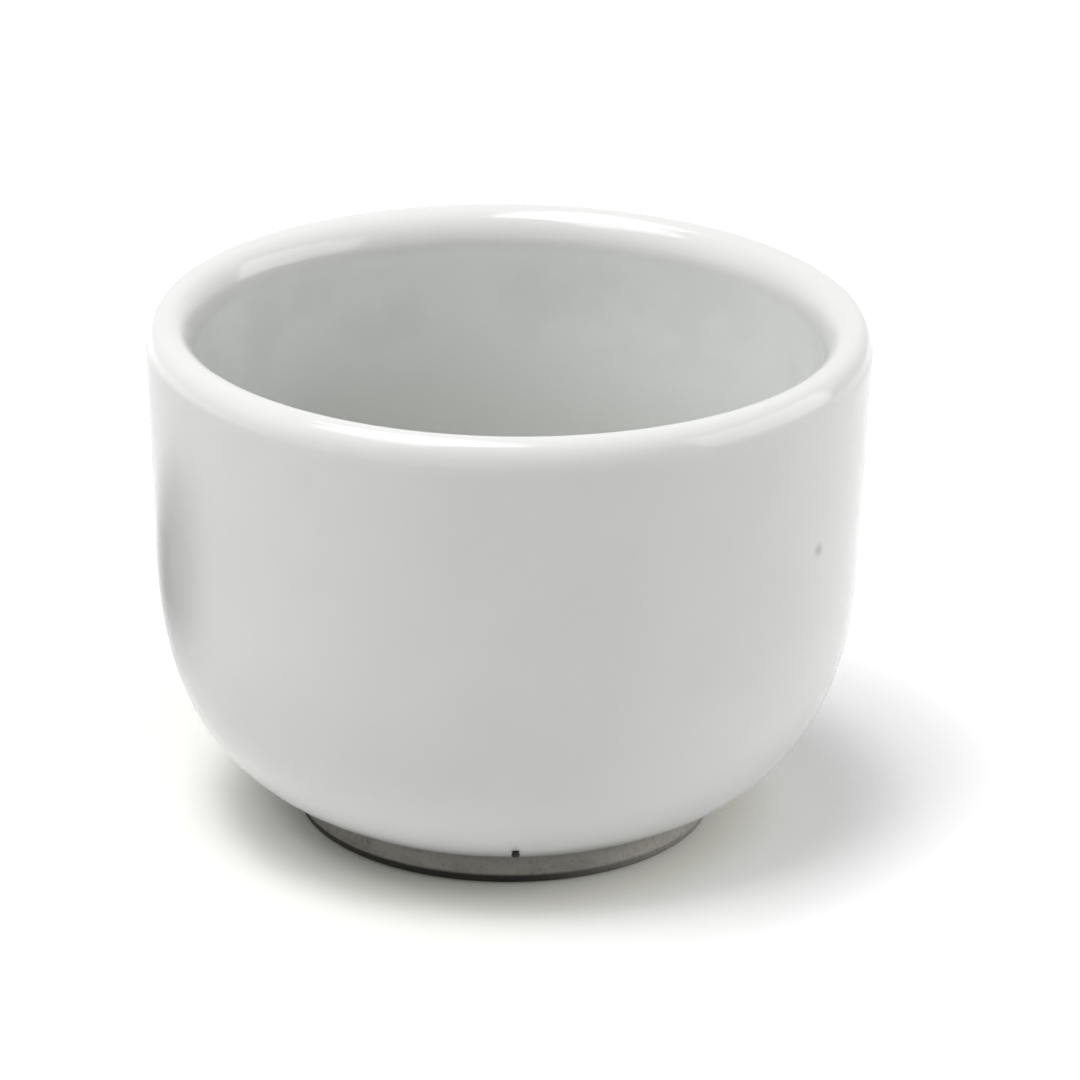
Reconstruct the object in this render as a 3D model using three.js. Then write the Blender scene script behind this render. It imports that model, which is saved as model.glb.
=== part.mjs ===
// A small white porcelain ramekin that stands on a foot ring.
//
// The fired clay body is one solid, foot ring and all. The glass fused onto it is three coats: the
// liner in the bowl, the outer coat from the lip down to the foot, and the coat in the well under the
// floor. Liner and outer coat meet on the crown of the lip. The foot ring is left bare, so that it
// doesn't stick in the kiln.
//
// Millimetres, +Z up. The origin is the centre of the standing ring, on the table.

import * as THREE from "three";

// Overall size, measured over the glaze
const rimDiameter = 76;
const height = 55.2;

// Wall and lip: the wall runs straight from the belly up to the lip, which rounds over in a short curve
// to the outside and in a longer one into the bowl
const lipThickness = 4.9;
const crownInset = 2;
const lipOuterDrop = 2.85;
const lipInnerDrop = 4;
const wallThickness = 4.3;
const bellyDiameter = 74.6;
const bellyHeight = 30.2;

// Belly: how far the wall and the underside hold their own direction before they bend into each other
const bellyReach = 14.4;
const undersideReach = 11;
const undersideSlope = THREE.MathUtils.degToRad(22.4);

// Bare foot ring: its height is taken to the line of the glazed underside, its widths at the table and
// at the ceiling of the well
const footDiameter = 44.4;
const footHeight = 3.2;
const standingWidth = 3;
const footRootWidth = 4.6;
const footEdgeRadius = 0.9;

// Bare strip between the foot and the edge of the outer glaze
const glazeGap = 0.6;

// Well under the floor, glazed down to a line inside the foot ring
const wellDepth = 2.6;
const wellCove = 0.8;
const wellGlazeLine = 1.3;

// Inside of the bowl
const floorThickness = 5;
const floorDiameter = 32;
const floorReach = 11;
const bowlReach = 13;

// Glaze: one even thickness on every coated face
const glazeThickness = 0.3;

// Facets around the axis, and steps along each round stretch
const facets = 48;
const lipQuarterSteps = 4;
const bellySteps = 8;
const bowlSteps = 7;
const coveSteps = 2;
const edgeSteps = 2;

// Sizes that follow from those above
const rimRadius = rimDiameter / 2;
const crownRadius = rimRadius - crownInset;
const bellyRadius = bellyDiameter / 2;
const footRadius = footDiameter / 2;
const wellRadius = footRadius - footRootWidth;
const floorHeight = wellDepth + floorThickness;
const underside = point(Math.cos(undersideSlope), Math.sin(undersideSlope));

function point(radius, z) {
  return new THREE.Vector2(radius, z);
}

function along(start, direction, distance) {
  return start.clone().addScaledVector(direction, distance);
}

function directionTo(start, end) {
  return end.clone().sub(start).normalize();
}

// Points of several stretches in a row, each joint kept once.
function joined(...stretches) {
  const points = stretches.flat();
  return points.filter((p, i) => i === 0 || !p.equals(points[i - 1]));
}

// A corner rounded off by a curve that starts and ends `reach` away from it.
function roundedCorner(from, corner, to, reach, steps) {
  const start = along(corner, directionTo(corner, from), reach);
  const end = along(corner, directionTo(corner, to), reach);
  return new THREE.QuadraticBezierCurve(start, corner, end).getPoints(steps);
}

// A line of points moved sideways by an even depth, to the left of its own direction.
function sunk(points, depth) {
  return points.map((p, i) => {
    const before = directionTo(points[Math.max(i - 1, 0)], points[Math.max(i, 1)]);
    const last = points.length - 1;
    const after = directionTo(points[Math.min(i, last - 1)], points[Math.min(i + 1, last)]);
    const middle = before.clone().add(after).normalize();
    const left = point(-middle.y, middle.x);
    return along(p, left, depth / middle.dot(before));
  });
}

// Outside of the glaze, from its edge beside the foot up to the crown of the lip.
function outsideLine() {
  const glazeEdge = along(point(footRadius, footHeight), underside, glazeGap);
  const wallStart = point(bellyRadius, bellyHeight);
  const wallEnd = point(rimRadius, height - lipOuterDrop);
  const wallDirection = directionTo(wallStart, wallEnd);
  const belly = new THREE.CubicBezierCurve(
    glazeEdge,
    along(glazeEdge, underside, undersideReach),
    along(wallStart, wallDirection, -bellyReach),
    wallStart,
  ).getPoints(bellySteps);
  return joined(belly, lipCurve(crownInset, lipOuterDrop, 0, Math.PI / 2));
}

// Inside of the bowl, from the crown of the lip down to the middle of the floor.
function insideLine() {
  const wallTop = point(rimRadius - lipThickness, height - lipInnerDrop);
  const wallFoot = point(bellyRadius - wallThickness, bellyHeight);
  const floorEdge = point(floorDiameter / 2, floorHeight);
  const bowl = new THREE.CubicBezierCurve(
    wallFoot,
    along(wallFoot, directionTo(wallTop, wallFoot), bowlReach),
    point(floorEdge.x + floorReach, floorHeight),
    floorEdge,
  ).getPoints(bowlSteps);
  const lip = lipCurve(lipThickness - crownInset, lipInnerDrop, Math.PI / 2, Math.PI);
  return joined(lip, bowl, [point(0, floorHeight)]);
}

// One side of the lip, a quarter of an ellipse: angle 0 faces outwards, a quarter turn is the crown and
// a half turn faces inwards.
function lipCurve(reach, drop, start, end) {
  const curve = new THREE.EllipseCurve(crownRadius, height - drop, reach, drop, start, end);
  return curve.getPoints(lipQuarterSteps);
}

// Ceiling and side of the well, from the axis out and down to the glaze line inside the foot ring.
function wellLine() {
  const middle = point(0, wellDepth);
  const corner = point(wellRadius, wellDepth);
  const standing = point(footRadius - standingWidth, 0);
  const slope = directionTo(corner, standing);
  const sideEnd = along(corner, slope, (wellGlazeLine - wellDepth) / slope.y);
  const reach = Math.min(wellCove, corner.distanceTo(sideEnd));
  return joined([middle], roundedCorner(middle, corner, sideEnd, reach, coveSteps), [sideEnd]);
}

// The bare foot, from the end of the well's clay round the standing ring and up to the outer glaze.
function footLine(inner, outer) {
  const innerCorner = point(inner.x, 0);
  const outerCorner = point(footRadius, 0);
  const coveReach = (outer.x - footRadius) / underside.x;
  const coveCorner = along(outer, underside, -coveReach);
  return joined(
    roundedCorner(inner, innerCorner, outerCorner, footEdgeRadius, edgeSteps),
    roundedCorner(innerCorner, outerCorner, coveCorner, footEdgeRadius, edgeSteps),
    roundedCorner(outerCorner, coveCorner, outer, coveReach, coveSteps),
  );
}

// A solid turned from its outline about the vertical axis.
function turned(outline) {
  return new THREE.LatheGeometry(outline, facets).rotateX(Math.PI / 2);
}

function named(name, geometry, material) {
  const mesh = new THREE.Mesh(geometry, material);
  mesh.name = name;
  return mesh;
}

// The faces of the ramekin, and the clay one glaze thickness under each of them
const outside = outsideLine();
const inside = insideLine();
const well = wellLine();
const cup = joined(outside, inside);
const cupClay = sunk(cup, glazeThickness);
const outsideClay = cupClay.slice(0, outside.length);
const insideClay = cupClay.slice(outside.length - 1);
const wellClay = sunk(well, glazeThickness);

const clay = joined(wellClay, footLine(wellClay.at(-1), outsideClay[0]), cupClay);
const outerCoat = [...outside, ...outsideClay.toReversed(), outside[0]];
const linerCoat = [...insideClay.toReversed(), ...inside];
const wellCoat = [...well, ...wellClay.toReversed()];

const barePorcelain = new THREE.MeshStandardMaterial({ color: 0xb5b1a8, roughness: 0.85, metalness: 0 });
const whiteGlaze = new THREE.MeshStandardMaterial({ color: 0xeff0ee, roughness: 0.12, metalness: 0 });
const linerGlaze = new THREE.MeshStandardMaterial({ color: 0xe9ecea, roughness: 0.1, metalness: 0 });

const ramekin = new THREE.Group();
ramekin.add(
  named("porcelain_body", turned(clay), barePorcelain),
  named("outer_glaze", turned(outerCoat), whiteGlaze),
  named("liner_glaze", turned(linerCoat), linerGlaze),
  named("foot_well_glaze", turned(wellCoat), whiteGlaze),
);

export default ramekin;
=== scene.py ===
"""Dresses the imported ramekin: four finely turned pieces, their glazes and clay, and a small white studio.

The frame's solids stay as they are. Each of them is stood in for by a smooth piece that is turned from the
same outline, with a rounded glaze edge, a slightly uneven coat and a finish of its own.
Outlines are in millimetres as (radius, height); pieces, lamps and the camera are in metres.
"""

import logging
import math
from collections.abc import Iterable
from dataclasses import dataclass, field
from enum import Enum

import bpy
from mathutils import Matrix, Vector
from mathutils.geometry import interpolate_bezier


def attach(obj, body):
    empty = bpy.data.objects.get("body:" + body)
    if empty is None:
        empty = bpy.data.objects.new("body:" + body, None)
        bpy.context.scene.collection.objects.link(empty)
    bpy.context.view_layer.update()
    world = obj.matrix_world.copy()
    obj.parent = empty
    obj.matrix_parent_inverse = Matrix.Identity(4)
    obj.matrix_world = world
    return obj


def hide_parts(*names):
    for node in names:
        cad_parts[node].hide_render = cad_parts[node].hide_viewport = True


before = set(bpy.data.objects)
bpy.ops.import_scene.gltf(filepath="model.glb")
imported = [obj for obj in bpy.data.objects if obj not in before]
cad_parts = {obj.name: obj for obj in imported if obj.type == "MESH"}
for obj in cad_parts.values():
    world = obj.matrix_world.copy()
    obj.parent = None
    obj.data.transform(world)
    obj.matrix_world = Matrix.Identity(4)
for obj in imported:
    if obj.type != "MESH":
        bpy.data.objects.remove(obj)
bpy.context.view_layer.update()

MM = 0.001
BODY = "root"
QUARTER_TURN = math.pi / 2
WHITE = (1.0, 1.0, 1.0, 1.0)
BLACK = (0.0, 0.0, 0.0, 1.0)
log = logging.getLogger("ramekin")

Colour = tuple[float, float, float]
Place = tuple[float, float, float]
Span = tuple[float, float]
Socket = bpy.types.NodeSocket


class Slot(Enum):
    """Material slots of the record."""

    BARE_PORCELAIN = "bare_porcelain"
    WHITE_GLAZE = "white_glaze"
    LINER_GLAZE = "liner_glaze"


class Still(Enum):
    """The brightness of a cloud that leaves a point where it is, when the cloud pushes a surface."""

    BRIGHTEST = 1.0
    MIDDLE = 0.5


def point(radius: float, height: float) -> Vector:
    """Return a point of an outline, in millimetres."""
    return Vector((radius, height))


def toward(start: Vector, end: Vector) -> Vector:
    """Return the direction from one outline point to another, of length one."""
    return (end - start).normalized()


def leftward(direction: Vector) -> Vector:
    """Return a direction turned a quarter turn to the left."""
    return Vector((-direction.y, direction.x))


def opaque(colour: Colour) -> tuple[float, float, float, float]:
    """Return a colour with nothing of it see-through."""
    return (*colour, 1.0)


@dataclass
class Outline:
    """A line of points that a piece is turned from, with weights for each point's unevenness.

    Attributes:
        SAME_SPOT: Points closer than this are one, in millimetres.
        CORNER_HANDLE: How far towards a rounded corner the handles of its curve lie.
        points: The line itself, in millimetres.
        swell: How far each point takes part in the uneven swell of the coat, from 0 to 1.
        edge: How far each point takes part in the wander of the glaze edge, from 0 to 1.
    """

    SAME_SPOT = 1e-6
    CORNER_HANDLE = 2 / 3

    points: list[Vector] = field(default_factory=list)
    swell: list[float] = field(default_factory=list)
    edge: list[float] = field(default_factory=list)

    def add(self, spot: Vector, swell: float = 0.0, edge: float = 0.0) -> None:
        """Add one point, unless the line already ends there.

        Args:
            spot: The point, in millimetres.
            swell: Its share in the coat's swell.
            edge: Its share in the glaze edge's wander.
        """
        if self.points and (spot - self.points[-1]).length < self.SAME_SPOT:
            return
        self.points.append(spot)
        self.swell.append(swell)
        self.edge.append(edge)

    def extend(self, spots: Iterable[Vector]) -> "Outline":
        """Add several even points.

        Args:
            spots: The points, in millimetres.

        Returns:
            The line itself.
        """
        for spot in spots:
            self.add(spot)
        return self

    def straight(self, end: Vector, steps: int, swell: float = 0.0) -> None:
        """Carry the line straight on.

        Args:
            end: Where the stretch ends.
            steps: How many points it gets.
            swell: The share of its points in the swell.
        """
        start = self.points[-1].copy()
        for i in range(1, steps + 1):
            self.add(start.lerp(end, i / steps), swell)

    def curve(self, first: Vector, second: Vector, end: Vector, steps: int, swell: float = 0.0) -> None:
        """Carry the line on along a cubic curve.

        Args:
            first: The handle at the start.
            second: The handle at the end.
            end: Where the stretch ends.
            steps: How many points it gets.
            swell: The share of its points in the swell.
        """
        start = self.points[-1]
        flat = [v.to_3d() for v in (start, first, second, end)]
        for spot in interpolate_bezier(*flat, steps + 1)[1:]:
            self.add(spot.to_2d(), swell)

    def corner(self, corner: Vector, onward: Vector, reach: float, steps: int, swell: float = 0.0) -> None:
        """Carry the line up to a corner and round it off.

        Args:
            corner: The corner's own place.
            onward: Direction in which the line leaves the corner.
            reach: How far from the corner the rounding starts and ends.
            steps: How many points the rounding gets.
            swell: The share of its points in the swell.
        """
        start = corner - toward(self.points[-1], corner) * reach
        end = corner + onward * reach
        first, second = (spot.lerp(corner, self.CORNER_HANDLE) for spot in (start, end))
        self.add(start, swell)
        self.curve(first, second, end, steps, swell)

    def sunk(self, depth: float) -> list[Vector]:
        """Return the line moved to its left by an even depth.

        Args:
            depth: How deep the new line lies under this one, in millimetres.

        Returns:
            The points of the new line, one for each point of this one.
        """
        last = len(self.points) - 1
        moved = []
        for i, spot in enumerate(self.points):
            before = toward(self.points[max(i - 1, 0)], self.points[max(i, 1)])
            after = toward(self.points[min(i, last - 1)], self.points[min(i + 1, last)])
            middle = (before + after).normalized()
            moved.append(spot + leftward(middle) * (depth / middle.dot(before)))
        return moved


@dataclass(frozen=True)
class Steps:
    """How many points each stretch of an outline gets.

    Attributes:
        bead: The rounded edge of a glaze.
        belly: The outside from the foot to the wall.
        wall: The straight wall, outside and inside.
        lip: Each side of the lip.
        bowl: The inside from the wall to the floor.
        floor: The floor.
        ceiling: The flat ceiling of the well.
        well_cove: The cove round that ceiling.
        well_side: The glazed side of the well.
        bare_side: The bare rest of that side.
        inner_edge: The inner edge of the standing face.
        outer_edge: Its outer edge.
        foot_cove: The cove beside the foot.
        eased: The stretch over which a coat's swell comes in below the lip.
    """

    bead: int = 7
    belly: int = 44
    wall: int = 22
    lip: int = 24
    bowl: int = 36
    floor: int = 12
    ceiling: int = 10
    well_cove: int = 8
    well_side: int = 3
    bare_side: int = 2
    inner_edge: int = 6
    outer_edge: int = 8
    foot_cove: int = 8
    eased: int = 14


@dataclass(frozen=True)
class RamekinSizes:
    """Sizes of the ramekin over its glaze, in millimetres, as the frame's solids have them.

    The dressed pieces alone have a bead, a swell and the finer steps.

    Attributes:
        bead_length: How far back from its edge a glaze starts to round off.
        bead_handle: How far that rounding holds the direction of the glaze's face.
        bead_rise: Share of the glaze's thickness up to which its edge stands upright.
        bead_steadying: How much less each point of the outer bead wanders than the one below it.
        cove_swell: Share in the coat's swell round the well's ceiling.
        side_swell: Share in it on the well's side.
        steps: Points along each stretch.
    """

    rim_diameter: float = 76.0
    height: float = 55.2
    lip_thickness: float = 4.9
    crown_inset: float = 2.0
    lip_outer_drop: float = 2.85
    lip_inner_drop: float = 4.0
    wall_thickness: float = 4.3
    belly_diameter: float = 74.6
    belly_height: float = 30.2
    belly_reach: float = 14.4
    underside_reach: float = 11.0
    underside_slope: float = math.radians(22.4)
    foot_diameter: float = 44.4
    foot_height: float = 3.2
    standing_width: float = 3.0
    foot_root_width: float = 4.6
    foot_edge_radius: float = 0.9
    glaze_gap: float = 0.6
    well_depth: float = 2.6
    well_cove: float = 0.8
    well_glaze_line: float = 1.3
    floor_thickness: float = 5.0
    floor_diameter: float = 32.0
    floor_reach: float = 11.0
    bowl_reach: float = 13.0
    glaze_thickness: float = 0.3
    bead_length: float = 0.45
    bead_handle: float = 0.3
    bead_rise: float = 0.2
    bead_steadying: float = 0.12
    cove_swell: float = 0.3
    side_swell: float = 0.2
    steps: Steps = Steps()

    @property
    def rim_radius(self) -> float:
        """Outer radius of the rim."""
        return self.rim_diameter / 2

    @property
    def foot_radius(self) -> float:
        """Outer radius of the bare foot."""
        return self.foot_diameter / 2

    @property
    def floor_height(self) -> float:
        """Height of the bowl's floor above the table."""
        return self.well_depth + self.floor_thickness

    @property
    def underside(self) -> Vector:
        """Direction in which the underside of the belly leaves the foot."""
        return point(math.cos(self.underside_slope), math.sin(self.underside_slope))

    def lip_point(self, angle: float) -> Vector:
        """Return a point of the lip.

        Args:
            angle: 0 faces outwards, a quarter turn is the crown, a half turn faces inwards.

        Returns:
            The point on the outer or the inner curve of the lip.
        """
        outer = angle <= QUARTER_TURN
        reach = self.crown_inset if outer else self.lip_thickness - self.crown_inset
        drop = self.lip_outer_drop if outer else self.lip_inner_drop
        centre = point(self.rim_radius - self.crown_inset, self.height - drop)
        return centre + point(reach * math.cos(angle), drop * math.sin(angle))

    def lip_angle(self, step: int) -> float:
        """Return how far from its side a point of the lip lies, with points closer together at the crown."""
        return QUARTER_TURN * math.sin(QUARTER_TURN * step / self.steps.lip)

    def outside(self) -> Outline:
        """Draw the outside.

        Returns:
            The line from the glaze edge beside the foot up to the crown of the lip.
        """
        line = Outline()
        steps = self.steps
        under = self.underside
        into_clay = leftward(under) * self.glaze_thickness
        glaze_edge = point(self.foot_radius, self.foot_height) + under * self.glaze_gap
        wall_start = point(self.belly_diameter / 2, self.belly_height)
        wall_end = self.lip_point(0.0)
        wall = toward(wall_start, wall_end)
        line.add(glaze_edge + into_clay)
        bead_end = glaze_edge + under * self.bead_length
        upright = glaze_edge + into_clay * self.bead_rise
        line.curve(upright, bead_end - under * self.bead_handle, bead_end, steps.bead)
        line.edge = [1.0 - self.bead_steadying * i for i in range(len(line.points))]
        belly = Outline().extend([glaze_edge])
        belly.curve(
            glaze_edge + under * self.underside_reach,
            wall_start - wall * self.belly_reach,
            wall_start,
            steps.belly,
        )
        for spot in belly.points[1:]:
            line.add(spot, 1.0)
        line.straight(wall_end, steps.wall, 1.0)
        line.extend(self.lip_point(self.lip_angle(i)) for i in range(1, steps.lip + 1))
        ease_out(line.swell, steps.eased)
        return line

    def inside(self) -> Outline:
        """Draw the inside.

        Returns:
            The line from the crown of the lip down to the middle of the floor.
        """
        steps = self.steps
        line = Outline().extend(
            self.lip_point(math.pi - self.lip_angle(i)) for i in range(steps.lip, -1, -1)
        )
        lip_points = len(line.points)
        wall_top = line.points[-1]
        wall_foot = point(self.belly_diameter / 2 - self.wall_thickness, self.belly_height)
        line.straight(wall_foot, steps.wall, 1.0)
        floor_edge = point(self.floor_diameter / 2, self.floor_height)
        line.curve(
            wall_foot + toward(wall_top, wall_foot) * self.bowl_reach,
            floor_edge + point(self.floor_reach, 0.0),
            floor_edge,
            steps.bowl,
            1.0,
        )
        line.straight(point(0.0, self.floor_height), steps.floor, 1.0)
        for i in range(steps.eased):
            line.swell[lip_points + i] *= (i + 1) / (steps.eased + 1)
        return line

    def well(self) -> Outline:
        """Draw the face of the well under the floor.

        Returns:
            The line from the axis out and down to the glaze edge inside the foot ring.
        """
        line = Outline()
        steps = self.steps
        corner = point(self.foot_radius - self.foot_root_width, self.well_depth)
        standing = point(self.foot_radius - self.standing_width, 0.0)
        slope = toward(corner, standing)
        into_clay = leftward(slope) * self.glaze_thickness
        end = corner + slope * ((self.well_glaze_line - self.well_depth) / slope.y)
        bead = end - slope * self.bead_length
        upright = end + into_clay * self.bead_rise
        line.add(point(0.0, self.well_depth))
        line.straight(point(corner.x - 2 * self.well_cove, self.well_depth), steps.ceiling, 1.0)
        line.corner(corner, slope, self.well_cove, steps.well_cove, self.cove_swell)
        line.straight(bead, steps.well_side, self.side_swell)
        steady = len(line.points)
        line.curve(bead + slope * self.bead_handle, upright, end + into_clay, steps.bead)
        for i in range(steady, len(line.points)):
            line.edge[i] = (i - steady + 1) / (len(line.points) - steady)
        return line


def ease_out(weights: list[float], count: int) -> None:
    """Bring the last weights above zero evenly down to nothing.

    Args:
        weights: Weights along a line, changed in place.
        count: How many of the last positive ones are eased.
    """
    live = [i for i, weight in enumerate(weights) if weight > 0.0][-count:]
    for rank, i in enumerate(live):
        weights[i] *= 1.0 - (rank + 1) / (count + 1)


class Bench:
    """Blender's modelling operators, used as by hand on one piece at a time.

    Attributes:
        SPIN_STEPS: Facets round the axis of a turned piece.
        SAME_SPOT: Points closer than this are merged, in metres.
        CRISP_ANGLE: Edges sharper than this stay crisp, in degrees.
    """

    SPIN_STEPS = 160
    SAME_SPOT = 0.001 * MM
    CRISP_ANGLE = 38.0

    @staticmethod
    def clear() -> None:
        """Leave whatever mode is on and deselect everything."""
        if bpy.context.object is not None and bpy.context.object.mode != "OBJECT":
            bpy.ops.object.mode_set(mode="OBJECT")
        bpy.ops.object.select_all(action="DESELECT")

    @staticmethod
    def take(piece: bpy.types.Object) -> None:
        """Make one piece the only selected and the active one.

        Args:
            piece: The piece.
        """
        Bench.clear()
        piece.select_set(True)
        bpy.context.view_layer.objects.active = piece

    @staticmethod
    def turn(name: str, line: Outline, closed: bool) -> bpy.types.Object:
        """Draw an outline point by point and spin it about the vertical axis.

        Args:
            name: The piece's name.
            line: The outline, in millimetres, in the plane of X and Z.
            closed: Whether the outline comes back to its own start. Otherwise it starts and ends on the axis.

        Returns:
            The turned piece, with vertex groups for the swell and the edge.
        """
        Bench.clear()
        bpy.ops.mesh.primitive_plane_add(size=MM, location=(0.0, 0.0, 0.0))
        piece = bpy.context.object
        piece.name = name
        piece.data.name = name
        spots = [Vector((p.x, 0.0, p.y)) * MM for p in line.points]
        bpy.ops.object.mode_set(mode="EDIT")
        bpy.ops.mesh.select_all(action="SELECT")
        bpy.ops.mesh.merge(type="CENTER")
        bpy.ops.transform.translate(value=spots[0])
        for before, after in zip(spots, spots[1:]):
            bpy.ops.mesh.extrude_vertices_move(TRANSFORM_OT_translate={"value": after - before})
        bpy.ops.object.mode_set(mode="OBJECT")
        Bench.weigh(piece, "swell", line.swell)
        Bench.weigh(piece, "edge", line.edge)
        bpy.ops.object.mode_set(mode="EDIT")
        bpy.ops.mesh.select_all(action="SELECT")
        if closed:
            bpy.ops.mesh.remove_doubles(threshold=Bench.SAME_SPOT)
        bpy.ops.mesh.spin(
            steps=Bench.SPIN_STEPS, angle=math.tau, center=(0.0, 0.0, 0.0), axis=(0.0, 0.0, 1.0)
        )
        bpy.ops.mesh.select_all(action="SELECT")
        bpy.ops.mesh.remove_doubles(threshold=Bench.SAME_SPOT)
        bpy.ops.mesh.normals_make_consistent(inside=False)
        bpy.ops.object.mode_set(mode="OBJECT")
        return piece

    @staticmethod
    def weigh(piece: bpy.types.Object, name: str, weights: list[float]) -> None:
        """Give a piece a vertex group, one weight for each point of its outline.

        Args:
            piece: The piece, still an open line.
            name: The group's name.
            weights: The weights along the line.
        """
        group = piece.vertex_groups.new(name=name)
        for index, weight in enumerate(weights):
            group.add([index], weight, "REPLACE")

    @staticmethod
    def push(
        piece: bpy.types.Object, group: str, cloud: bpy.types.Texture, amount: float, still: Still
    ) -> None:
        """Push a piece's surface in or out by a cloud texture, and apply it.

        Args:
            piece: The piece.
            group: The vertex group that takes part, or nothing for all of it.
            cloud: The texture that says how far.
            amount: How far apart the texture's darkest and brightest spots put a point, in millimetres.
            still: The brightness that leaves a point where it is.
        """
        Bench.take(piece)
        bpy.ops.object.modifier_add(type="DISPLACE")
        push = piece.modifiers[-1]
        push.texture = cloud
        push.texture_coords = "LOCAL"
        push.vertex_group = group
        push.strength = amount * MM
        push.mid_level = still.value
        bpy.ops.object.modifier_apply(modifier=push.name)

    @staticmethod
    def smooth(piece: bpy.types.Object) -> None:
        """Shade a piece smooth, with its sharp edges kept crisp."""
        Bench.take(piece)
        bpy.ops.object.shade_smooth_by_angle(angle=math.radians(Bench.CRISP_ANGLE))

    @staticmethod
    def cloud(name: str, grain: float) -> bpy.types.Texture:
        """Return a cloud texture.

        Args:
            name: The texture's name.
            grain: The size of its clouds, in millimetres.

        Returns:
            The new texture.
        """
        texture = bpy.data.textures.new(name, type="CLOUDS")
        texture.noise_scale = grain * MM
        texture.noise_depth = 1
        return texture


@dataclass(frozen=True)
class KilnGrain:
    """A small ragged grain that the kiln left on a glaze.

    Attributes:
        centre: Its middle, in millimetres.
        radius: Half its width before it is stretched, in millimetres.
        stretch: How much it is stretched along X, Y and Z.
        lump: Size of its lumps, in millimetres.
        lump_depth: How far apart they put its face, in millimetres.
        fineness: How often its ball is divided.
    """

    centre: Place = (1.21, -28.58, 6.49)
    radius: float = 0.4
    stretch: Place = (1.1, 1.0, 0.85)
    lump: float = 0.5
    lump_depth: float = 0.2
    fineness: int = 3

    def seat(self, piece: bpy.types.Object) -> None:
        """Seat the grain in a piece's surface.

        Args:
            piece: The piece that it becomes part of.
        """
        Bench.clear()
        bpy.ops.mesh.primitive_ico_sphere_add(
            subdivisions=self.fineness, radius=self.radius * MM, location=Vector(self.centre) * MM
        )
        grain = bpy.context.object
        bpy.ops.transform.resize(value=self.stretch)
        bpy.ops.object.transform_apply(location=True, scale=True)
        Bench.push(grain, "", Bench.cloud("kiln_grain", self.lump), self.lump_depth, Still.MIDDLE)
        piece.select_set(True)
        bpy.context.view_layer.objects.active = piece
        bpy.ops.object.join()


@dataclass
class Piece:
    """One turned piece of the ramekin: how it is shaped, dressed and set on the frame.

    Attributes:
        sizes: The ramekin's sizes.
        node: The frame's solid that the piece stands in for.
        slot: The record's material slot; nothing in this script reads it.
    """

    sizes: RamekinSizes
    node: str = ""
    slot: Slot = Slot.WHITE_GLAZE

    def outline(self) -> tuple[Outline, bool]:
        """Return the outline to turn, and whether it closes on itself."""
        raise NotImplementedError

    def shape(self, piece: bpy.types.Object) -> None:
        """Give the turned piece its unevenness; a piece of plain clay needs none."""

    def build(self) -> bpy.types.Object:
        """Model the piece.

        Returns:
            The finished object, at the origin.
        """
        line, closed = self.outline()
        piece = Bench.turn(f"{self.node}_turned", line, closed)
        self.shape(piece)
        Bench.smooth(piece)
        return piece

    def dress(self, piece: bpy.types.Object, material: bpy.types.Material) -> None:
        """Give the piece its finish and set it on the frame.

        Args:
            piece: The modelled piece.
            material: Its finish.
        """
        piece.data.materials.clear()
        piece.data.materials.append(material)
        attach(piece, BODY)
        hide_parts(self.node)
        log.info("%s: %d faces, finish %s", piece.name, len(piece.data.polygons), material.name)


@dataclass
class PorcelainBody(Piece):
    """The fired clay: bowl, lip core and foot ring. Only its bare foot shows."""

    node: str = "porcelain_body"
    slot: Slot = Slot.BARE_PORCELAIN

    def outline(self) -> tuple[Outline, bool]:
        """Draw the clay, from under the well round the foot and the lip to the floor.

        Returns:
            The outline, and that it ends on the axis.
        """
        size, steps = self.sizes, self.sizes.steps
        outside, well = size.outside(), size.well()
        well_face = Outline().extend(well.points[:-steps.bead])
        cup = Outline().extend(outside.points[steps.bead:] + size.inside().points)
        well_end, under_glaze = well.points[-1], outside.points[0]
        cove = (under_glaze.x - size.foot_radius) / size.underside.x

        line = Outline().extend(well_face.sunk(size.glaze_thickness))
        line.straight(well_end, steps.bare_side)
        line.corner(point(well_end.x, 0.0), point(1.0, 0.0), size.foot_edge_radius, steps.inner_edge)
        line.corner(point(size.foot_radius, 0.0), point(0.0, 1.0), size.foot_edge_radius, steps.outer_edge)
        line.corner(under_glaze - size.underside * cove, size.underside, cove, steps.foot_cove)
        return line.extend(cup.sunk(size.glaze_thickness)), False


@dataclass
class Coat(Piece):
    """A coat of glaze with a slightly uneven face.

    Attributes:
        swell: The most that the face lies under its even line, in millimetres.
        swell_grain: Size of its swells, in millimetres.
        edge_wander: How far the glaze edge wanders to and fro, in millimetres.
        edge_grain: Size of the wanders, in millimetres.
    """

    swell: float = 0.1
    swell_grain: float = 16.0
    edge_wander: float = 0.3
    edge_grain: float = 5.0

    def shape(self, piece: bpy.types.Object) -> None:
        """Let the coat's face swell and its edge wander.

        Args:
            piece: The turned coat.
        """
        cloud = Bench.cloud(f"{self.node}_swell", self.swell_grain)
        Bench.push(piece, "swell", cloud, self.swell, Still.BRIGHTEST)
        if self.edge_wander:
            cloud = Bench.cloud(f"{self.node}_edge", self.edge_grain)
            Bench.push(piece, "edge", cloud, self.edge_wander, Still.MIDDLE)


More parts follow.
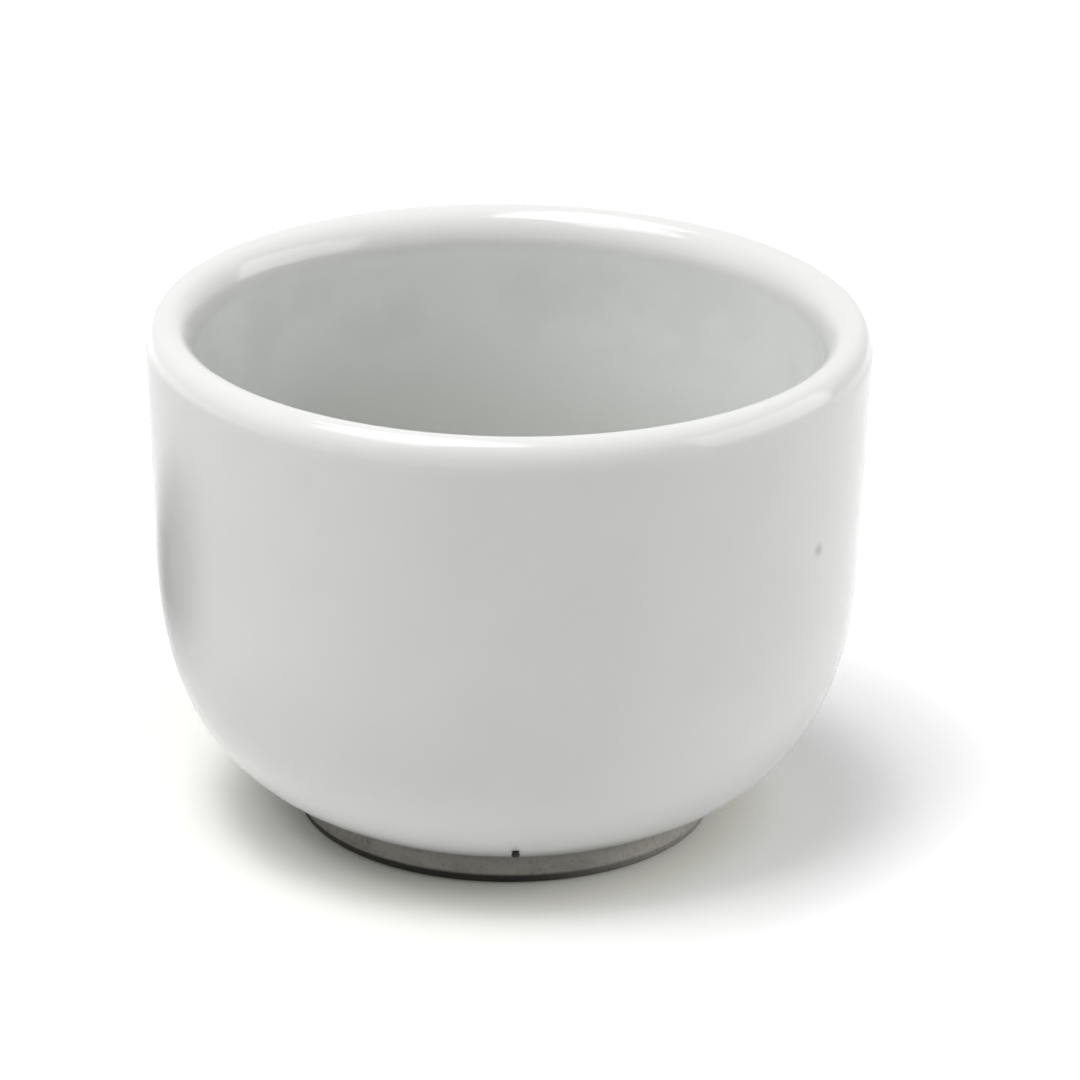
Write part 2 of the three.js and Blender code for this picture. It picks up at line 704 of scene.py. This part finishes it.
@dataclass
class OuterGlaze(Coat):
    """The coat on the outside, from the lip's crown down to its rounded edge beside the foot.

    Attributes:
        grain: The kiln grain that stands out of it.
    """

    node: str = "outer_glaze"
    grain: KilnGrain = KilnGrain()

    def shape(self, piece: bpy.types.Object) -> None:
        """Let the coat's face swell and its edge wander, and seat the grain."""
        super().shape(piece)
        self.grain.seat(piece)

    def outline(self) -> tuple[Outline, bool]:
        """Draw the coat: up its face, and back down along the clay.

        Returns:
            The outline, and that it closes on itself.
        """
        line = self.sizes.outside()
        clay = line.sunk(self.sizes.glaze_thickness)
        edge = line.points[0].copy()
        line.extend(reversed(clay[self.sizes.steps.bead + 1:]))
        line.add(edge, edge=1.0)
        return line, True


@dataclass
class LinerGlaze(Coat):
    """The coat inside the bowl, from the lip's crown down the wall and over the floor."""

    node: str = "liner_glaze"
    slot: Slot = Slot.LINER_GLAZE
    edge_wander: float = 0.0

    def outline(self) -> tuple[Outline, bool]:
        """Draw the coat: up the clay from the floor's middle, and back down its face.

        Returns:
            The outline, and that it ends on the axis.
        """
        face = self.sizes.inside()
        line = Outline().extend(reversed(face.sunk(self.sizes.glaze_thickness)))
        for spot, swell in zip(face.points, face.swell):
            line.add(spot, swell)
        return line, False


@dataclass
class FootWellGlaze(Coat):
    """The coat in the well under the floor, inside the foot ring."""

    node: str = "foot_well_glaze"
    swell: float = 0.08
    swell_grain: float = 9.0

    def outline(self) -> tuple[Outline, bool]:
        """Draw the coat: out along its face, and back along the clay.

        Returns:
            The outline, and that it ends on the axis.
        """
        line = self.sizes.well()
        face = Outline().extend(line.points[:-self.sizes.steps.bead])
        return line.extend(reversed(face.sunk(self.sizes.glaze_thickness))), False


class Nodes:
    """Short ways to place and link shader nodes in one tree.

    Attributes:
        MIX_COLOURS: Numbers of a mix node's two inputs for colours.
        MIX_RESULT: Number of its output for colours.
        NOISE_MIDDLE: What a noise texture is on average.
    """

    MIX_COLOURS = (6, 7)
    MIX_RESULT = 2
    NOISE_MIDDLE = 0.5

    def __init__(self, tree: bpy.types.NodeTree) -> None:
        """Keep the tree that the nodes go into."""
        self.tree = tree

    def new(self, kind: str, **values: object) -> bpy.types.Node:
        """Place a node.

        Args:
            kind: The node's type name.
            **values: Settings of the node by name.

        Returns:
            The new node.
        """
        node = self.tree.nodes.new(kind)
        for name, value in values.items():
            setattr(node, name, value)
        return node

    def link(self, output: Socket, socket: Socket) -> None:
        """Link an output to an input."""
        self.tree.links.new(output, socket)

    def put(self, value: object, socket: Socket) -> None:
        """Link a socket to an input, or set the input to a plain value.

        Args:
            value: The socket or the value. Without one, the input stays as it is.
            socket: The input.
        """
        if isinstance(value, Socket):
            self.link(value, socket)
        elif value is not None:
            socket.default_value = value

    def place(self) -> tuple[Socket, bpy.types.NodeOutputs]:
        """Read where on its object a point lies.

        Returns:
            The place in metres, and the sockets for its X, Y and Z.
        """
        place = self.new("ShaderNodeTexCoord").outputs["Object"]
        split = self.new("ShaderNodeSeparateXYZ")
        self.link(place, split.inputs[0])
        return place, split.outputs

    def group(self, tree: bpy.types.NodeTree, values: dict[str, object]) -> bpy.types.NodeOutputs:
        """Place a node group.

        Args:
            tree: The group.
            values: A socket or a plain value for each of its inputs, by name.

        Returns:
            The sockets that lead out of it.
        """
        node = self.new("ShaderNodeGroup", node_tree=tree)
        for name, value in values.items():
            self.put(value, node.inputs[name])
        return node.outputs

    def math(self, operation: str, first: object, second: object = None) -> Socket:
        """Place a math node.

        Args:
            operation: What it works out.
            first: A socket or a number.
            second: A socket or a number, where the operation takes two.

        Returns:
            The node's output.
        """
        node = self.new("ShaderNodeMath", operation=operation)
        for socket, value in zip(node.inputs, (first, second)):
            self.put(value, socket)
        return node.outputs[0]

    def apart(self, first: object, second: object) -> Socket:
        """Work out how far apart two places are.

        Args:
            first: A socket or a place.
            second: A socket or a place.

        Returns:
            The distance.
        """
        node = self.new("ShaderNodeVectorMath", operation="DISTANCE")
        self.put(first, node.inputs[0])
        self.put(second, node.inputs[1])
        return node.outputs["Value"]

    def mix(self, share: object, first: object, second: object) -> Socket:
        """Mix two colours.

        Args:
            share: How much of the second colour there is, a socket or a number.
            first: A colour or a socket.
            second: A colour or a socket.

        Returns:
            The mixed colour.
        """
        node = self.new("ShaderNodeMix", data_type="RGBA")
        self.put(share, node.inputs["Factor"])
        for number, colour in zip(self.MIX_COLOURS, (first, second)):
            self.put(colour, node.inputs[number])
        return node.outputs[self.MIX_RESULT]

    def spread(self, value: object, low: object, high: float, to_low: float, to_high: float) -> Socket:
        """Map a value from one range to another, held at both ends.

        Args:
            value: The value to map.
            low: Start of its range.
            high: End of its range.
            to_low: What the start becomes.
            to_high: What the end becomes.

        Returns:
            The mapped value.
        """
        node = self.new("ShaderNodeMapRange", interpolation_type="SMOOTHSTEP")
        for socket, number in zip(node.inputs, (value, low, high, to_low, to_high)):
            self.put(number, socket)
        return node.outputs[0]

    def noise(self, place: Socket, scale: object, detail: float = 2.0) -> Socket:
        """Place a noise texture.

        Args:
            place: The coordinates that it reads.
            scale: How many of its features go to a metre.
            detail: How many finer octaves it has.

        Returns:
            Its value, from 0 to 1.
        """
        node = self.new("ShaderNodeTexNoise", noise_dimensions="3D")
        self.link(place, node.inputs["Vector"])
        self.put(scale, node.inputs["Scale"])
        node.inputs["Detail"].default_value = detail
        return node.outputs["Fac"]

    def relief(self, height: Socket, shader: bpy.types.Node) -> None:
        """Give a shader's surface a relief.

        Args:
            height: The relief's height, in metres.
            shader: The shader.
        """
        bump = self.new("ShaderNodeBump")
        bump.inputs["Distance"].default_value = 1.0
        self.link(height, bump.inputs["Height"])
        self.link(bump.outputs["Normal"], shader.inputs["Normal"])


def new_material(name: str) -> tuple[bpy.types.Material, Nodes, bpy.types.Node]:
    """Start a material.

    Args:
        name: Its name.

    Returns:
        The material, its nodes and its shader.
    """
    material = bpy.data.materials.new(name)
    material.use_nodes = True
    return material, Nodes(material.node_tree), material.node_tree.nodes["Principled BSDF"]


@dataclass(frozen=True)
class Ramp:
    """A value that changes smoothly between two places, or between two brightnesses of a texture.

    Attributes:
        start: Where it starts to change; a place is in metres.
        end: Where it has changed.
        first: The value up to the start.
        last: The value from the end on.
        centre: The point that places round it are measured from, in metres.
    """

    start: float
    end: float
    first: float
    last: float
    centre: Place = (0.0, 0.0, 0.0)

    def along(self, nodes: Nodes, place: Socket) -> Socket:
        """Return the value by a place along one axis, or by a texture's brightness."""
        return nodes.spread(place, self.start, self.end, self.first, self.last)

    def round(self, nodes: Nodes, place: Socket) -> Socket:
        """Return the value by the distance of a place from the centre."""
        return self.along(nodes, nodes.apart(place, self.centre))


class Kit:
    """Shader node groups that more than one finish uses.

    Attributes:
        MOTTLE: How much of a mottle shows by its noise.
        GLOSS: How dull a spot is by its noise.
        GLOSS_SCALE: Dull spots to a metre.
        PEEL_SCALES: Waves of the orange peel to a metre, the broad and the fine ones.
        FINE_PEEL: Height of the fine waves as a share of the broad ones.
        RAG_SCALE: Rags of a speck's outline to a metre.
        RAG_DEPTH: Their depth, in metres.
    """

    MOTTLE = Ramp(0.35, 0.65, 0.0, 1.0)
    GLOSS = Ramp(0.3, 0.7, 0.0, 1.0)
    GLOSS_SCALE = 420.0
    PEEL_SCALES = (140.0, 620.0)
    FINE_PEEL = 0.2
    RAG_SCALE = 2600.0
    RAG_DEPTH = 0.12 * MM

    @staticmethod
    def group(
        name: str, inputs: list[tuple[str, str, object]], outputs: list[tuple[str, str]]
    ) -> bpy.types.NodeTree:
        """Start a node group with named sockets.

        Args:
            name: The group's name.
            inputs: Name, kind and default of each input.
            outputs: Name and kind of each output.

        Returns:
            The group, holding only its input and output nodes.
        """
        tree = bpy.data.node_groups.new(name, "ShaderNodeTree")
        for label, kind, default in inputs:
            socket = tree.interface.new_socket(label, in_out="INPUT", socket_type=f"NodeSocket{kind}")
            socket.default_value = default
        for label, kind in outputs:
            tree.interface.new_socket(label, in_out="OUTPUT", socket_type=f"NodeSocket{kind}")
        tree.nodes.new("NodeGroupInput")
        tree.nodes.new("NodeGroupOutput")
        return tree

    @staticmethod
    def ends(tree: bpy.types.NodeTree) -> tuple[bpy.types.NodeOutputs, bpy.types.NodeInputs]:
        """Return the sockets that lead into a group and those that lead out of it."""
        return tree.nodes["Group Input"].outputs, tree.nodes["Group Output"].inputs

    @staticmethod
    def glaze_tone() -> bpy.types.NodeTree:
        """Build the group that mottles a glaze between its thin colour and a darker one, and adds more of the
        darker one by a given share, which in the liner is mostly painted shade.

        Returns:
            The group, which puts out the colour and how dull each spot is.
        """
        tree = Kit.group(
            "Glaze tone",
            [
                ("Place", "Vector", (0.0, 0.0, 0.0)),
                ("Thin colour", "Color", (0.8, 0.8, 0.8, 1.0)),
                ("Pooled and shade colour", "Color", (0.7, 0.7, 0.7, 1.0)),
                ("Pooling and shade", "Float", 0.0),
                ("Mottle", "Float", 0.3),
                ("Mottle scale", "Float", 90.0),
            ],
            [("Colour", "Color"), ("Gloss", "Float")],
        )
        nodes = Nodes(tree)
        given, wanted = Kit.ends(tree)
        broad = nodes.noise(given["Place"], given["Mottle scale"], detail=3.0)
        share = nodes.math("MULTIPLY", Kit.MOTTLE.along(nodes, broad), given["Mottle"])
        share = nodes.math("MAXIMUM", share, given["Pooling and shade"])
        nodes.link(nodes.mix(share, given["Thin colour"], given["Pooled and shade colour"]), wanted["Colour"])
        fine = nodes.noise(given["Place"], Kit.GLOSS_SCALE)
        nodes.link(Kit.GLOSS.along(nodes, fine), wanted["Gloss"])
        return tree

    @staticmethod
    def glaze_skin() -> bpy.types.NodeTree:
        """Build the group that gives a glaze its faint orange-peel relief.

        Returns:
            The group, which puts out a height in metres.
        """
        tree = Kit.group(
            "Glaze skin",
            [("Place", "Vector", (0.0, 0.0, 0.0)), ("Relief", "Float", 0.02)],
            [("Height", "Float")],
        )
        nodes = Nodes(tree)
        given, wanted = Kit.ends(tree)
        broad, fine = (nodes.noise(given["Place"], scale, detail=1.0) for scale in Kit.PEEL_SCALES)
        both = nodes.math("ADD", broad, nodes.math("MULTIPLY", fine, Kit.FINE_PEEL))
        height = nodes.math("MULTIPLY", both, given["Relief"])
        nodes.link(nodes.math("MULTIPLY", height, MM), wanted["Height"])
        return tree

    @staticmethod
    def speck() -> bpy.types.NodeTree:
        """Build the group that masks one kiln speck with a ragged outline.

        Returns:
            The group, which puts out the mask.
        """
        tree = Kit.group(
            "Kiln speck",
            [
                ("Place", "Vector", (0.0, 0.0, 0.0)),
                ("Centre", "Vector", (0.0, 0.0, 0.0)),
                ("Radius", "Float", 0.5),
                ("Softness", "Float", 0.3),
            ],
            [("Mask", "Float")],
        )
        nodes = Nodes(tree)
        given, wanted = Kit.ends(tree)
        rags = nodes.noise(given["Place"], Kit.RAG_SCALE)
        rags = nodes.math("SUBTRACT", rags, Nodes.NOISE_MIDDLE)
        ragged = nodes.math("MULTIPLY", rags, Kit.RAG_DEPTH)
        reach = nodes.math("ADD", nodes.apart(given["Place"], given["Centre"]), ragged)
        share = nodes.math("DIVIDE", reach, nodes.math("MULTIPLY", given["Radius"], MM))
        solid = nodes.math("SUBTRACT", 1.0, given["Softness"])
        nodes.link(nodes.spread(share, solid, 1.0, 1.0, 0.0), wanted["Mask"])
        return tree


@dataclass(frozen=True)
class Speck:
    """A dark speck that the kiln left in a glaze.

    Attributes:
        centre: Its place on the glaze, in millimetres.
        radius: Half its width, in millimetres.
        strength: How much of its colour shows, from 0 to 1.
        softness: Share of its radius over which it fades out.
    """

    centre: Place
    radius: float
    strength: float
    softness: float


@dataclass(frozen=True)
class GlazeFinish:
    """A white gloss glaze.

    Attributes:
        name: The material's name.
        thin: Colour where the coat is thin.
        pooled_and_shade: Colour where it has run together in mottles, and of its darkening low down, which in
            the liner is mostly painted shade.
        pool_and_shade_heights: Heights in millimetres between which that darker colour fades out upwards.
        rim: Colour over the lip, the same in every coat that ends there; on the liner it is darker than the
            wall below.
        rim_heights: Heights in millimetres between which that colour comes in.
        mottle: Share of the pooled colour in the mottling.
        mottle_scale: Mottles to a metre.
        roughness: Roughness of the smoothest and the dullest spots.
        relief: Height of the orange peel, in millimetres.
        refraction: The glass's index of refraction.
        specks: Kiln specks in it.
        speck_colour: Their colour.
        speck_roughness: Their roughness.
    """

    name: str
    thin: Colour
    pooled_and_shade: Colour
    pool_and_shade_heights: Span
    rim: Colour = (0.82, 0.82, 0.81)
    rim_heights: Span = (50.3, 52.3)
    mottle: float = 0.3
    mottle_scale: float = 90.0
    roughness: Span = (0.09, 0.15)
    relief: float = 0.02
    refraction: float = 1.5
    specks: tuple[Speck, ...] = ()
    speck_colour: Colour = (0.012, 0.011, 0.008)
    speck_roughness: float = 0.8

    def material(
        self, tone: bpy.types.NodeTree, skin: bpy.types.NodeTree, speck: bpy.types.NodeTree
    ) -> bpy.types.Material:
        """Build the material.

        Args:
            tone: The group for mottling.
            skin: The group for relief.
            speck: The group for a kiln speck.

        Returns:
            The new material.
        """
        material, nodes, shader = new_material(self.name)
        place, axes = nodes.place()
        # Darker low down: in the liner mostly painted shade of the deep bowl, partly thicker glaze.
        low, high = (height * MM for height in self.pool_and_shade_heights)
        toned = nodes.group(tone, {
            "Place": place,
            "Thin colour": opaque(self.thin),
            "Pooled and shade colour": opaque(self.pooled_and_shade),
            "Pooling and shade": nodes.spread(axes["Z"], low, high, 1.0, 0.0),
            "Mottle": self.mottle,
            "Mottle scale": self.mottle_scale,
        })
        low, high = (height * MM for height in self.rim_heights)
        over_lip = nodes.spread(axes["Z"], low, high, 0.0, 1.0)
        colour = nodes.mix(over_lip, toned["Colour"], opaque(self.rim))
        rough = nodes.spread(toned["Gloss"], 0.0, 1.0, *self.roughness)
        for mark in self.specks:
            mask = nodes.group(speck, {
                "Place": place,
                "Centre": [along * MM for along in mark.centre],
                "Radius": mark.radius,
                "Softness": mark.softness,
            })["Mask"]
            share = nodes.math("MULTIPLY", mask, mark.strength)
            colour = nodes.mix(share, colour, opaque(self.speck_colour))
            rough = nodes.math("MAXIMUM", rough, nodes.math("MULTIPLY", share, self.speck_roughness))
        nodes.link(colour, shader.inputs["Base Color"])
        nodes.link(rough, shader.inputs["Roughness"])
        nodes.relief(nodes.group(skin, {"Place": place, "Relief": self.relief})["Height"], shader)
        shader.inputs["IOR"].default_value = self.refraction
        return material


@dataclass(frozen=True)
class ClayFinish:
    """Bare fired clay on the foot ring, greyed by use, with painted shade at its standing edge, in its cove
    and over its left side.

    Attributes:
        name: The material's name.
        clean: Colour of the clean clay.
        grain: Colour of its darker grains.
        grain_scale: Grains to a metre.
        grain_show: How much of a grain's colour shows by its noise.
        grime_and_shade: Colour of the dirt that has settled on it, also used for the painted shade.
        edge_bottom: How the dark band round the standing edge starts, by height; it is mostly painted contact
            shadow, partly dirt.
        edge_top: What of it is left above, by height.
        edge_shadow_fade: What of it is left from the middle to the right, by X, as the painted contact shadow
            gives way to the light from the right.
        stain_scale: Stains to a metre.
        stain: How much dirt is in a stain by its noise.
        shaded_left: Painted shade all over the left, by X.
        cove: Painted shade in the cove beside the glaze, by height.
        roughness: Roughness all over.
        relief: Height of the grain, in millimetres.
    """

    name: str = "bare fired clay"
    clean: Colour = (0.5, 0.48, 0.43)
    grain: Colour = (0.3, 0.28, 0.24)
    grain_scale: float = 1800.0
    grain_show: Ramp = Ramp(0.5, 0.72, 0.0, 0.6)
    grime_and_shade: Colour = (0.012, 0.011, 0.008)
    edge_bottom: Ramp = Ramp(0.02 * MM, 0.12 * MM, 0.0, 0.97)
    edge_top: Ramp = Ramp(0.85 * MM, 1.35 * MM, 1.0, 0.0)
    edge_shadow_fade: Ramp = Ramp(0.0, 0.02, 1.0, 0.4)
    stain_scale: float = 260.0
    stain: Ramp = Ramp(0.42, 0.7, 0.0, 0.2)
    shaded_left: Ramp = Ramp(-0.018, -0.008, 0.3, 0.0)
    cove: Ramp = Ramp(1.6 * MM, 3.4 * MM, 0.0, 0.3)
    roughness: float = 0.86
    relief: float = 0.03

    def material(self) -> bpy.types.Material:
        """Build the material.

        Returns:
            The new material.
        """
        material, nodes, shader = new_material(self.name)
        place, axes = nodes.place()
        grain = nodes.noise(place, self.grain_scale, detail=4.0)
        blotch = nodes.noise(place, self.stain_scale, detail=3.0)
        colour = nodes.mix(self.grain_show.along(nodes, grain), opaque(self.clean), opaque(self.grain))
        # Dark band at the standing edge: mostly painted contact shadow, partly dirt, fading towards the lit
        # right.
        edge = nodes.math(
            "MULTIPLY", self.edge_bottom.along(nodes, axes["Z"]), self.edge_top.along(nodes, axes["Z"])
        )
        edge = nodes.math("MULTIPLY", edge, self.edge_shadow_fade.along(nodes, axes["X"]))
        # Real stains in blotches, plus painted shade over the whole left side.
        stain = nodes.math(
            "ADD", self.stain.along(nodes, blotch), self.shaded_left.along(nodes, axes["X"])
        )
        # Painted shade in the cove beside the glaze.
        grime_and_shade = nodes.math("MAXIMUM", stain, self.cove.along(nodes, axes["Z"]))
        grime_and_shade = nodes.math("MAXIMUM", edge, grime_and_shade)
        nodes.link(nodes.mix(grime_and_shade, colour, opaque(self.grime_and_shade)), shader.inputs["Base Color"])
        nodes.relief(nodes.math("MULTIPLY", grain, self.relief * MM), shader)
        shader.inputs["Roughness"].default_value = self.roughness
        return material


@dataclass(frozen=True)
class Lamp:
    """One soft lamp of the studio.

    Attributes:
        name: Its name.
        place: Where it hangs, in metres.
        face: Width and height of its face, in metres.
        power: Its power in watts.
    """

    name: str
    place: Place
    face: Span
    power: float

    def hang(self, target: Vector) -> None:
        """Hang the lamp and turn it to a point.

        Args:
            target: The point that it lights.
        """
        data = bpy.data.lights.new(self.name, "AREA")
        data.shape = "RECTANGLE"
        data.size, data.size_y = self.face
        data.energy = self.power
        lamp = bpy.data.objects.new(self.name, data)
        bpy.context.scene.collection.objects.link(lamp)
        lamp.location = self.place
        lamp.rotation_euler = (target - lamp.location).to_track_quat("-Z", "Y").to_euler()


@dataclass(frozen=True)
class Studio:
    """White floor, soft lamps, a white world and the camera.

    Attributes:
        target: The point of the ramekin that the camera's place is measured from, in metres.
        distance: From there to the camera, in metres.
        elevation: The camera's height angle, in degrees.
        roll: How far the picture is turned clockwise, in degrees.
        aim: How far right of and above the target the camera looks, in metres.
        lens: Focal length, in millimetres.
        sensor: Width of the camera's frame, in millimetres.
        clip: Nearest and farthest that the camera sees, in metres.
        lamps: The soft lamps.
        flag: How dark the flag on the floor is, from its middle out to its edge.
        flag_sides: Sides of its round outline.
        floor_width: Width of the floor, in metres.
        floor_gap: How far the floor lies under the foot, in metres.
        floor_colour: Colour of the floor.
        floor_glow: Tint of the floor's own white where the ramekin's shadow lies, which paints that shadow
            warm.
        glow_fade: How that tint gives way to plain white, by how much white there is.
        across_white: The floor's own white, painted light that lightens the ramekin's shadow, from the left
            of the ramekin to its right.
        foot_white: What that white is multiplied by, from the foot outwards, which keeps the painted light
            lowest at the foot.
        open_white: White added where the shadow ends.
        far_white: The least white far away.
        under_white: White hidden under the foot ring, which lights the well for a look from below.
    """

    target: Place = (0.0, 0.0, 0.0282)
    distance: float = 0.6
    elevation: float = 22.12
    roll: float = 0.69
    aim: Span = (0.003461, 0.001507)
    lens: float = 188.4
    sensor: float = 36.0
    clip: Span = (0.01, 20.0)
    lamps: tuple[Lamp, ...] = (
        Lamp("overhead", (-0.18, -0.05, 0.9), (0.72, 0.36), 4.9),
        Lamp("overhead left", (-0.36, -0.24, 0.85), (0.55, 0.5), 3.9),
        Lamp("right fill", (0.9, -0.05, 0.26), (1.0, 0.6), 4.4),
        Lamp("left fill", (-0.8, -0.3, 0.46), (1.0, 0.7), 1.1),
    )
    flag: Ramp = Ramp(0.0098, 0.049, 1.0, 0.0, (-0.084, 0.039, 0.0005))
    flag_sides: int = 48
    floor_width: float = 6.0
    floor_gap: float = 0.00003
    floor_colour: Colour = (0.8, 0.8, 0.8)
    floor_glow: Colour = (1.0, 1.0, 0.81)
    glow_fade: Ramp = Ramp(0.15, 0.35, 0.0, 1.0)
    across_white: Ramp = Ramp(-0.03, 0.026, 0.117, 0.19)
    foot_white: Ramp = Ramp(0.02, 0.034, 0.4, 1.6, (-0.0015, 0.0005, 0.0))
    open_white: Ramp = Ramp(0.044, 0.058, 0.0, 0.165, (-0.01, -0.002, 0.0))
    far_white: Ramp = Ramp(0.07, 0.3, 0.0, 1.0)
    under_white: Ramp = Ramp(0.0204, 0.0212, 0.4, 0.0)

    def build(self) -> None:
        """Set up the floor, the light and the camera."""
        self.lay_floor()
        self.lay_flag()
        for lamp in self.lamps:
            lamp.hang(Vector(self.target))
        self.whiten_world()
        self.set_camera()
        bpy.context.scene.view_settings.view_transform = "Standard"

    def lay_floor(self) -> None:
        """Lay the white floor that keeps the ramekin's shadow and is clear from below; its own glow is
        painted light that lightens and shapes that shadow.
        """
        Bench.clear()
        bpy.ops.mesh.primitive_plane_add(size=self.floor_width, location=(0.0, 0.0, -self.floor_gap))
        floor = bpy.context.object
        floor.name = "studio_floor"
        material, nodes, shader = new_material("white floor")
        shader.inputs["Base Color"].default_value = opaque(self.floor_colour)
        shader.inputs["Roughness"].default_value = 1.0
        shader.inputs["Specular IOR Level"].default_value = 0.0
        place, axes = nodes.place()
        # Painted light: the floor glows for the camera and in the gloss, less by the foot, more to the right
        # and where the shadow ends.
        close = nodes.math(
            "MULTIPLY", self.across_white.along(nodes, axes["X"]), self.foot_white.round(nodes, place)
        )
        close = nodes.math("ADD", close, self.open_white.round(nodes, place))
        away = nodes.math("MAXIMUM", close, self.far_white.round(nodes, place))
        under = self.under_white.round(nodes, place)
        seen = nodes.math("MULTIPLY", seen_directly(nodes), away)
        plain = self.glow_fade.along(nodes, nodes.math("MAXIMUM", away, under))
        nodes.link(nodes.mix(plain, opaque(self.floor_glow), WHITE), shader.inputs["Emission Color"])
        nodes.link(nodes.math("MAXIMUM", seen, under), shader.inputs["Emission Strength"])
        both = nodes.new("ShaderNodeMixShader")
        nodes.link(nodes.new("ShaderNodeNewGeometry").outputs["Backfacing"], both.inputs[0])
        nodes.link(shader.outputs[0], both.inputs[1])
        nodes.link(nodes.new("ShaderNodeBsdfTransparent").outputs[0], both.inputs[2])
        nodes.link(both.outputs[0], material.node_tree.nodes["Material Output"].inputs["Surface"])
        floor.data.materials.append(material)

    def lay_flag(self) -> None:
        """Lay a soft-edged dark flag beside the ramekin, which shows only as a shade in the glaze's gloss."""
        Bench.clear()
        bpy.ops.mesh.primitive_circle_add(
            vertices=self.flag_sides, radius=self.flag.end, fill_type="NGON"
        )
        flag = bpy.context.object
        flag.name = "dark_flag"
        bpy.ops.transform.translate(value=self.flag.centre)
        bpy.ops.object.transform_apply(location=True)
        material, nodes, shader = new_material("dark flag")
        shader.inputs["Base Color"].default_value = BLACK
        shader.inputs["Specular IOR Level"].default_value = 0.0
        nodes.link(self.flag.round(nodes, nodes.place()[0]), shader.inputs["Alpha"])
        flag.data.materials.append(material)
        flag.visible_camera = False
        flag.visible_diffuse = False
        flag.visible_shadow = False

    def whiten_world(self) -> None:
        """Show the world white where it is seen or mirrored; it gives no other light."""
        world = bpy.data.worlds.new("white studio")
        bpy.context.scene.world = world
        world.use_nodes = True
        nodes = Nodes(world.node_tree)
        light = world.node_tree.nodes["Background"]
        light.inputs["Color"].default_value = WHITE
        nodes.link(seen_directly(nodes), light.inputs["Strength"])

    def set_camera(self) -> None:
        """Set the camera at the photograph's angle."""
        tilt, roll = math.radians(self.elevation), math.radians(self.roll)
        sideways = Vector((1.0, 0.0, 0.0))
        ahead = Vector((0.0, math.cos(tilt), -math.sin(tilt)))
        flat_up = Vector((0.0, math.sin(tilt), math.cos(tilt)))
        right = sideways * math.cos(roll) + flat_up * math.sin(roll)
        up = flat_up * math.cos(roll) - sideways * math.sin(roll)
        place = Vector(self.target) - ahead * self.distance
        look = (Vector(self.target) + right * self.aim[0] + up * self.aim[1] - place).normalized()
        right = look.cross(up).normalized()
        up = right.cross(look)
        data = bpy.data.cameras.new("photograph camera")
        data.lens = self.lens
        data.sensor_width = self.sensor
        data.clip_start, data.clip_end = self.clip
        camera = bpy.data.objects.new("photograph camera", data)
        bpy.context.scene.collection.objects.link(camera)
        turn = Matrix((right, up, -look)).transposed()
        camera.matrix_world = Matrix.Translation(place) @ turn.to_4x4()
        bpy.context.scene.camera = camera


def seen_directly(nodes: Nodes) -> Socket:
    """Tell rays that look at a surface from rays that only carry its light.

    Args:
        nodes: The tree that the light path is read in.

    Returns:
        1 for rays from the camera, from a mirror face or through glass, and 0 for others.
    """
    path = nodes.new("ShaderNodeLightPath").outputs
    glossy = nodes.math("MAXIMUM", path["Is Camera Ray"], path["Is Glossy Ray"])
    return nodes.math("MAXIMUM", glossy, path["Is Transmission Ray"])


def main() -> None:
    """Build and dress every piece, then the studio."""
    logging.basicConfig(level=logging.INFO, format="%(message)s")
    sizes = RamekinSizes()
    groups = Kit.glaze_tone(), Kit.glaze_skin(), Kit.speck()
    white = GlazeFinish(
        "white glaze",
        thin=(0.82, 0.82, 0.81),
        # Darker towards the bottom: in the well and at the glaze edge beside the foot.
        pooled_and_shade=(0.77, 0.78, 0.76),
        pool_and_shade_heights=(2.2, 4.2),
        specks=(
            # The dark grain low on the front
            Speck(OuterGlaze.grain.centre, radius=0.54, strength=0.98, softness=0.05),
            # The soft grey speck on the right, two that run into each other
            Speck((31.6, -19.99, 37.26), radius=1.1, strength=0.2, softness=1.0),
            Speck((31.9, -19.51, 37.0), radius=1.1, strength=0.2, softness=1.0),
        ),
    ).material(*groups)
    liner = GlazeFinish(
        "liner glaze",
        # Painted light and shade: lighter than the white glaze on the upper wall, darker and greener towards
        # the floor, which is mostly painted shade of the deep bowl and partly thicker glaze; over the lip it
        # takes the white glaze's colour.
        thin=(0.92, 0.935, 0.932),
        pooled_and_shade=(0.52, 0.53, 0.495),
        pool_and_shade_heights=(13.0, 46.0),
        mottle=0.14,
        relief=0.012,
    ).material(*groups)
    clay = ClayFinish().material()
    for part, material in (
        (PorcelainBody(sizes), clay),
        (OuterGlaze(sizes), white),
        (LinerGlaze(sizes), liner),
        (FootWellGlaze(sizes), white),
    ):
        part.dress(part.build(), material)
    Studio().build()


if __name__ == "__main__":
    main()
